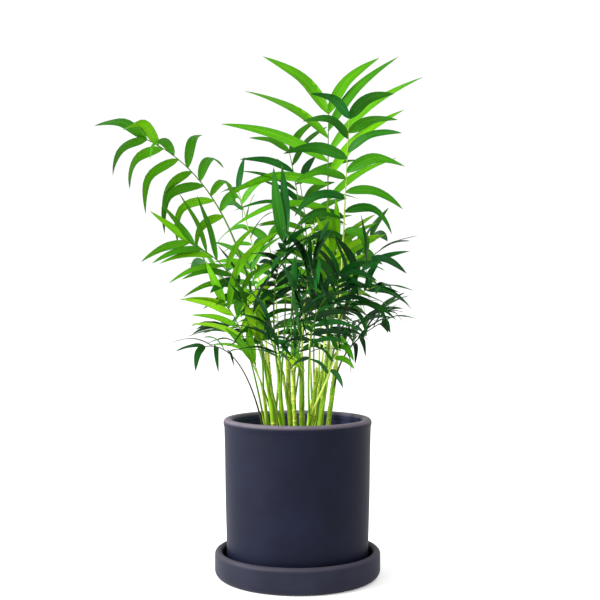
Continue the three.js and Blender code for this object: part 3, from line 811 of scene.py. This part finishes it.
# %% The finish of a stalk
def stalk_finish(name, pale, deep, tip):
    """Streaks along the stalk, its own green towards the tip, yellow-green on the sheath."""
    finish = Finish(name, Specular_IOR_Level=0.2)
    where, _, up = finish.along("Stalk")
    streak = finish.noise(1.0, 3.0, finish.stretched(where, (14.0, 5.0, 1.0)))
    skin = finish.blend(streak.step(0.36, 0.66), pale, deep)
    skin = finish.blend(up.step(0.45, 1.0) * 0.85, skin, tip)
    skin = finish.blend(up.step(0.34, 0.27), skin, colour(112, 156, 14))
    edge = up.step(0.012, 0.0) * 0.8
    skin = finish.blend(edge, skin, colour(104, 92, 46))
    return finish.wear(skin, 0.42 + 0.16 * streak, streak, 0.0002, 0.4)


STALKS = {
    kind: stalk_finish("stalk_" + kind, *(colour(*tone) for tone in tones))
    for kind, tones in (("pale", ((206, 222, 104), (92, 136, 12), (96, 118, 30))),
                        ("green", ((92, 138, 12), (22, 62, 2), (50, 78, 20))),
                        ("brown", ((70, 64, 40), (38, 36, 26), (38, 50, 26))))
}
BROWN_STALKS, OTHER_STALKS = (9, 23), ("pale", "green", "green")
for number, (frond, rib) in enumerate(zip(FRONDS, ribs), 1):
    rings = np.concatenate([sheath_rings(rib, number), stalk_rings(rib)])
    laid = ring_map(*rings.shape[:2])
    kind = "brown" if number in BROWN_STALKS else OTHER_STALKS[number % 3]
    name = f"frond_{number:02d}"
    made = tube(rings, OFBake=inset(laid), Stalk=laid).become(
        name + "_rib", [name], "frond_" + frond.tone, [STALKS[kind]])
print(len(ribs), "stalks of", len(made.data.polygons), "faces")

# %% [markdown]
# ## The leaflets
# A leaflet leaves the rib at an angle that closes towards the tip, curves forward, and falls
# under its own weight with part of the fall in a crease. Its outline is widest a third of the
# way along and runs out to a long point. The solids follow the same rule, so the leaflets here
# fall where theirs do. Some fronds have finer ones: the table FINER gives the share of their
# width that is left, and one more leaflet then grows between every two. All leaflets of a frond
# are worked out at once, and the first axis of each array counts them.

# %% How leaflets grow along a rib
STRAY = {"spread": 9, "lift": 12, "roll": 24, "length": 0.14, "width": 0.1, "droop": 0.35,
         "crease": 0.3}
SICKLE = 14
UNRULY = {"lime": 1.0, "fresh": 1.0, "mid": 1.3, "dark": 2.0}
FINER = {7: 0.74, 8: 0.7, 11: 0.8, 13: 0.8, 14: 0.78, 15: 0.8, 16: 0.8, 17: 0.78, 18: 0.75,
         19: 0.85, 21: 0.85, 22: 0.8, 26: 0.9, 29: 0.9, 31: 0.9, 35: 0.8, 36: 0.7, 37: 0.8}


def places(number, frond, rib):
    """Seed, side, and shares of the leafy part and of the rib: bare + (1 - bare) outer."""
    steps, pair = max(frond.pairs - 1, 1), np.arange(frond.pairs, dtype=float)
    if number in FINER:
        pair = np.concatenate([pair, pair[:-1] + 0.5])
    pair, side = (v.ravel() for v in np.meshgrid(pair, [-1.0, 1.0], indexing="ij"))
    seed = number * 97 + pair * 7 + np.where(side > 0, 14, -3)
    outer = pair / steps if frond.pairs > 1 else np.ones_like(pair)
    stagger = np.where(pair < steps, side * 0.16 / steps, 0)
    share = np.minimum(mix(frond.bare, 1, outer + stagger), 1 - 2.5 / rib.length)
    return seed, side, share, outer


def starts(number, frond, rib, seed, side, share, outer):
    """out = along cos a + (side across cos r + above sin r) sin a, its up, and its sizes."""
    (length, width), (spread, droop, lift, lean) = frond.leaflet, frond.lie
    along, above, across = rib.frame(share)
    loose = UNRULY[frond.tone]
    open_ = (spread + lean * side) * (1 - 0.5 * outer ** 1.5)
    angle = np.radians(open_ + loose * STRAY["spread"] * stray(seed))[:, None]
    raised = np.radians(lift * (1 - 0.6 * outer) + loose * STRAY["lift"] * stray(seed + 1))[:, None]
    out = unit(np.cos(angle) * along + np.sin(angle) * (
        side[:, None] * np.cos(raised) * across + np.sin(raised) * above))
    up = unit(above - dot(out, above) * out)
    up = spun(up, out, np.radians(loose * STRAY["roll"]) * stray(seed + 6))
    long = length * (0.72 + 0.28 * np.sin(np.pi * mix(0.12, 0.92, outer)))
    return out, up, {
        "length": long * (1 + STRAY["length"] * stray(seed + 2)),
        "width": (width * mix(0.82, 1.12, outer) * (1 + STRAY["width"] * stray(seed + 3))
                  * FINER.get(number, 1)),
        "droop": np.radians(droop * mix(1.15, 0.7, outer)) * (1 + STRAY["droop"] * stray(seed + 4)),
        "crease": STRAY["crease"] * (1 + stray(seed + 5)),
        "sickle": -side * math.radians(SICKLE),
    }


# %% [markdown]
# From its start on the rib, a leaflet's middle line is walked in even steps. Each step is turned
# sideways, which curves it like a sickle, and then down about a level axis, which lets it fall,
# but never past LIMP of the way to straight down. FLATTEN of the blade's own tilt is given up
# over its first part, because a leaf turns its face to the light. The second axis of each array
# counts the steps.

# %% How a leaflet falls
LEAF_STEPS = 12
LIMP, FLATTEN, LEVEL = 0.96, 0.35, 0.55
DOWN = np.array([0.0, 0.0, -1.0])


def middle_lines(root, out, up, size):
    """Place, along and across at each step: turned by sickle s, then by the fall."""
    s = np.linspace(0, 1, LEAF_STEPS + 1)[None]
    axis = unit(np.cross(out, DOWN))
    flat = np.cross(out, up)
    level = axis * np.where(dot(flat, axis) >= 0, 1, -1)
    hanging = np.arccos(np.clip(dot(out, DOWN)[:, 0], -1, 1))
    fall = np.minimum(size["droop"], LIMP * hanging)[:, None]
    crease = size["crease"][:, None]
    ease = (1 - crease) * smooth_step(s, -0.25, 1.1) + crease * smooth_step(s, 0.34, 0.62)
    turn = fall * (ease - ease[:, :1]) / (1 - ease[:, :1])

    def carried(v):
        """A vector of the leaflet's start, turned as each step is."""
        bent = spun(v[:, None], up[:, None], size["sickle"][:, None] * s)
        return spun(bent, axis[:, None], turn)

    along, across = carried(out), carried(flat)
    eased = (FLATTEN * smooth_step(s, 0, LEVEL))[..., None]
    across = unit(mix(across, level[:, None], eased))
    across = unit(across - dot(across, along) * along)
    step = unit(along[:, 1:] + along[:, :-1]) * size["length"][:, None, None] / LEAF_STEPS
    place = root[:, None] + np.concatenate([np.zeros_like(root)[:, None], np.cumsum(step, 1)], 1)
    return place, along, across


def breadth(s):
    """sin(pi (0.03 + 0.97 s)^0.75)^0.8, pinched where the leaflet joins the rib."""
    wide = np.clip(np.sin(np.pi * (0.03 + 0.97 * s) ** 0.75), 0, 1) ** 0.8
    return wide * mix(0.5, 1, smooth_step(s, 0, 0.1))


print("a leaflet is widest at", round(float(np.linspace(0, 1, 101)[
    breadth(np.linspace(0, 1, 101)).argmax()]), 2), "of its length")

# %% [markdown]
# Six points go round a leaflet: its two margins, the groove of the midrib with a point on
# either side of it, and a keel below. The margins rise from the midrib near the foot and
# flatten out later, and a slow wave runs down each of them, different on the two sides. Top
# and underside get separate halves of the bake map, one narrow strip for each leaflet.

# %% The skin of the leaflets
AROUND = 6
ACROSS = np.array([-1, -0.5, 0, 0.5, 1, 0])
RISE = np.array([1, 0.42, 0, 0.42, 1, 0])
THICK = np.array([0, 0.2, 0.1, 0.2, 0, -0.32])
LEFT = np.array([0, 0.25, 0.5, 0.75, 1, 0.5])
RIGHT = np.array([0.25, 0.5, 0.75, 1, 0.5, 0])
FOLD, WAVE = (0.34, 0.05), 0.07


def blade_points(place, along, across, width, seed):
    """place + across * half breadth + normal * (rise of the margins + wave + thickness)."""
    s = np.linspace(0, 1, LEAF_STEPS + 1)
    half = np.maximum(width[:, None] * breadth(s)[None] / 2, 0.05)[..., None]
    normal = np.cross(across, along)[:, :, None]
    fold = mix(*FOLD, smooth_step(s, 0, 0.6))[None, :, None]
    phase = 3 * stray(seed + 8)[:, None, None]
    wave = WAVE * np.sin(9 * s[None, :, None] + phase + 2 * ACROSS) * np.abs(ACROSS)
    lift = half * (fold * RISE + wave) + THICK * np.minimum(half, 1)
    return (place[:, :, None] + across[:, :, None] * (half * ACROSS)[..., None]
            + normal * lift[..., None])


def blade_faces(count):
    """Quads round and along each leaflet, its foot closed by one face and its tip by another."""
    quads = ring_quads(LEAF_STEPS + 1, AROUND)
    first = (LEAF_STEPS + 1) * AROUND * np.arange(count)[:, None, None]
    ends = np.stack([np.arange(AROUND)[::-1], np.arange(AROUND) + LEAF_STEPS * AROUND])
    return (quads[None] + first).reshape(-1, 4), (ends[None] + first).reshape(-1, AROUND)


def blade_maps(count):
    """Blade: across and along each leaflet. OFBake: a strip for each, top low and back high."""
    row, j = np.divmod(np.arange(LEAF_STEPS * AROUND), AROUND)
    low, high = row / LEAF_STEPS, (row + 1) / LEAF_STEPS
    corners = [(LEFT[j], low), (RIGHT[j], low), (RIGHT[j], high), (LEFT[j], high)]
    blade = np.stack([np.stack(c, -1) for c in corners], -2)
    back = (j >= 4)[:, None]
    u = (np.arange(count)[:, None, None] + 0.06 + 0.88 * blade[None, ..., 0]) / count
    v = np.broadcast_to(0.01 + 0.48 * blade[..., 1] + 0.5 * back, u.shape)
    return np.tile(blade, (count, 1, 1)), np.stack([u, v], -1).reshape(-1, 4, 2), back


# %% [markdown]
# Leaf green is not one colour. Young leaflets are yellow-green and old ones deep green, the
# underside is paler than the top, and each leaflet has its own shade. The shades are plain
# colours in a row from deep to lime, dealt out to whole leaflets. Within one, the finish adds
# fine veins, a pale midrib, a darker margin and a dry tip, all from the leaflet's own map.

# %% Leaf finishes
LEAF_DEEP = (0.62, 0.74, 0.7)
LEAF_PALE, LEAF_LIGHT = (1.3, 1.14, 1.0), (0.02, 0.02, 0)


def leaf_finish(name, green):
    """Streaks and clouds round one green, then veins, midrib, margin and dry tip in turn."""
    finish = Finish(name, Specular_IOR_Level=0.08)
    where, across, along = finish.along("Blade")
    centre = (across * 2 - 1).size()
    streak = finish.noise(1.0, 2.0, finish.stretched(where, (22.0, 2.4, 1.0)))
    cloud = finish.noise(34, 1.0)
    ribbed = (across * 11).fraction()
    vein = ribbed.least(1 - ribbed).step(0.0, 0.32)
    deep, pale = tinted(green, LEAF_DEEP), tinted(green, LEAF_PALE, LEAF_LIGHT)
    skin = finish.blend(streak.step(0.32, 0.7), deep, green)
    skin = finish.blend(cloud.step(0.3, 0.9) * 0.35, skin, pale)
    skin = finish.blend((1 - vein) * 0.1, skin, pale)
    skin = finish.blend(centre.step(0.14, 0.03) * 0.45, skin, pale)
    skin = finish.blend(centre.step(0.84, 1.0) * 0.4, skin, colour(30, 62, 20))
    dry = (along + 0.05 * cloud).step(0.965, 1.02)
    skin = finish.blend(dry * 0.9, skin, colour(104, 92, 66))
    return finish.wear(skin, 0.5 - 0.12 * streak, vein + 0.6 * streak, 0.00012, 0.5)


GREENS = [colour(*v) for v in ((0, 40, 14), (0, 54, 18), (6, 72, 18), (22, 84, 8), (42, 106, 4),
                               (62, 126, 2), (84, 148, 4), (114, 170, 8), (146, 190, 20))]
LEAVES = [leaf_finish(f"leaf_{k}", green) for k, green in enumerate(GREENS)]
SHADES = {"lime": (6.4, 1.2), "fresh": (4.8, 1.2), "mid": (3.3, 1.6), "dark": (1.2, 1.3)}


def shades(tone, seed):
    """The top's place in the row of greens; the underside is the same or a step paler."""
    middle, reach = SHADES[tone]
    top = np.rint(middle + reach * stray(seed + 9)).astype(int)
    under = top + np.where(stray(seed + 10) > 0.2, 1, 0)
    return np.clip([top, under], 0, len(GREENS) - 1)


# %% [markdown]
# Now each frond gets its leaflets. One piece holds all the leaflets of a frond, and carries
# only the shades that it uses.


# %% Growing the leaflets
def grow(number, frond, rib):
    """Makes the piece with a frond's leaflets, and gives how many there are."""
    seed, side, share, outer = places(number, frond, rib)
    out, up, size = starts(number, frond, rib, seed, side, share, outer)
    place, along, across = middle_lines(rib.at(share), out, up, size)
    points = blade_points(place, along, across, size["width"], seed)
    count = len(seed)
    quads, ends = blade_faces(count)
    blade, strip, back = blade_maps(count)
    top, under = shades(frond.tone, seed)
    shade = np.where(back.ravel()[None], under[:, None], top[:, None])
    used, shade = np.unique(shade, return_inverse=True)
    shade = shade.reshape(count, -1)
    still = np.tile([[0.5, 0.0], [0.5, 1.0]], (count, 1))[:, None].repeat(AROUND, 1)
    skin = Skin().add(points, quads, shade.ravel(), Blade=blade, OFBake=strip)
    skin.cover(ends, np.repeat(shade[:, 0], 2), Blade=still, OFBake=np.full_like(still, 0.5))
    name = f"frond_{number:02d}"
    skin.become(name + "_leaflets", [name], "frond_" + frond.tone, [LEAVES[k] for k in used],
                sharp=70)
    return count


total = sum(grow(number, *pair) for number, pair in enumerate(zip(FRONDS, ribs), 1))
print(total, "leaflets of", LEAF_STEPS * AROUND + 2, "faces")

# %% [markdown]
# ## Floor and light
# A plain white floor and a white surround give the even light of a small studio. One large soft
# light from the front left models the pot and the leaves, and a weaker one from the right keeps
# the far side open. The floor gives a little light of its own, so that a shadow on it nearly
# goes and the object stands on clean white.

# %% The studio
WORLD_LIGHT, FLOOR_LIGHT, FLOOR_REACH = 1.04, 0.22, 30.0
scene = bpy.context.scene
scene.view_settings.view_transform = "Standard"
world = bpy.data.worlds.new("studio")
world.use_nodes = True
background = world.node_tree.nodes["Background"]
background.inputs[0].default_value = (1, 1, 1, 1)
background.inputs[1].default_value = WORLD_LIGHT
scene.world = world

floor = Finish("floor_paper", Roughness=0.9, Specular_IOR_Level=0.1, Base_Color=(0.97, 0.97, 0.97, 1),
               Emission_Color=(1, 1, 1, 1), Emission_Strength=FLOOR_LIGHT)
mesh = bpy.data.meshes.new("floor")
corners = FLOOR_REACH * np.array([(-1, -1, 0), (1, -1, 0), (1, 1, 0), (-1, 1, 0)])
mesh.from_pydata(corners.tolist(), [], [(0, 1, 2, 3)])
mesh.materials.append(floor.material)
ground = bpy.data.objects.new("floor", mesh)
scene.collection.objects.link(ground)


def soft_light(name, place, aim, size, power):
    """A square light at a place, turned to its aim."""
    lamp = bpy.data.lights.new(name, "AREA")
    lamp.size, lamp.energy = size, power
    made = bpy.data.objects.new(name, lamp)
    made.location = place
    way = np.array(aim, float) - np.array(place, float)
    made.rotation_euler = (math.acos(-way[2] / np.linalg.norm(way)), 0,
                           math.atan2(way[1], way[0]) - math.pi / 2)
    scene.collection.objects.link(made)


PLANT = (0, 0, 0.25)
soft_light("key", (-1.3, -0.62, 0.75), PLANT, 0.8, 56)
soft_light("fill", (0.7, -1.4, 0.8), PLANT, 1.0, 6)
print("two lights and a white surround")
